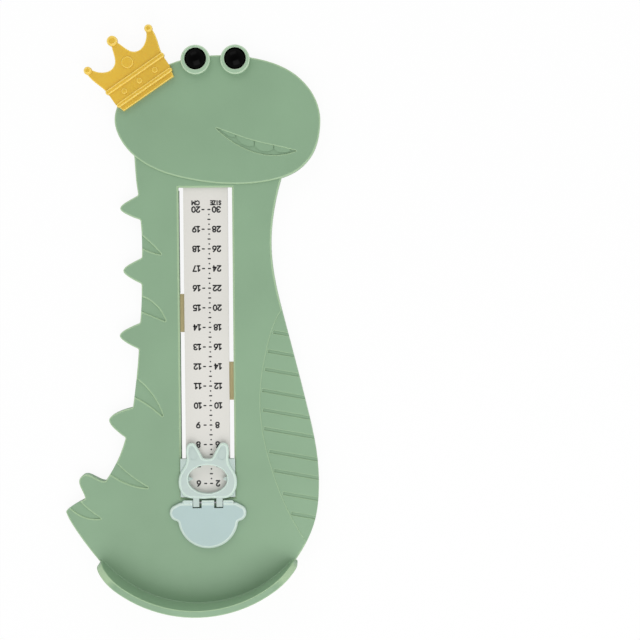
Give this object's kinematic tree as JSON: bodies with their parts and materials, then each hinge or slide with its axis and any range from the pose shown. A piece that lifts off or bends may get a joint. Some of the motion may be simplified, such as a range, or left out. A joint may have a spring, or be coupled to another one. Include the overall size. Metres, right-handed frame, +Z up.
{
  "type": "foot measuring device",
  "caption": "Flat plastic foot gauge for children in the shape of a dinosaur: a heel wall, a printed scale in a long window and a slider with a hinged toe flap.",
  "frame": {"origin": "middle of the bounding box at the table, on the underside of the plate", "axes": "+Z up out of the plate, +Y from the heel wall to the animal's head along the scale, +X to the belly side"},
  "size_m": [0.1315, 0.298, 0.0265],
  "materials": {
    "green_plastic": "satin moulded, sage green",
    "white_plastic": "smooth printed strip, off-white",
    "tan_plastic": "satin moulded, tan",
    "steel": "plain zinc-plated",
    "mint_plastic": "satin moulded, pale mint",
    "yellow_plastic": "glossy, slightly translucent yellow",
    "eye_ring_plastic": "satin moulded, light green",
    "black_plastic": "polished black dome"
  },
  "bodies": {
    "base": {"base_plate": "green_plastic", "ruler_strip": "white_plastic", "strip_bracket_left": "tan_plastic", "strip_bracket_right": "tan_plastic", "assembly_screws": "steel", "crown": "yellow_plastic", "eye_ring_left": "eye_ring_plastic", "eye_ring_right": "eye_ring_plastic", "pupil_left": "black_plastic", "pupil_right": "black_plastic"},
    "slider": {"slider": "mint_plastic"},
    "flap": {"toe_flap": "mint_plastic", "hinge_pin": "steel"}
  },
  "joints": [
    {"name": "slider_travel", "type": "slide", "parent": "base", "child": "slider", "axis": [0, 1, 0], "range_m": [0, 0.1377]},
    {"name": "toe_flap_hinge", "type": "hinge", "parent": "slider", "child": "flap", "pos_m": [0.007, -0.0934, 0.00855], "axis": [-1, 0, 0], "range_deg": [0, 90]}
  ]
}
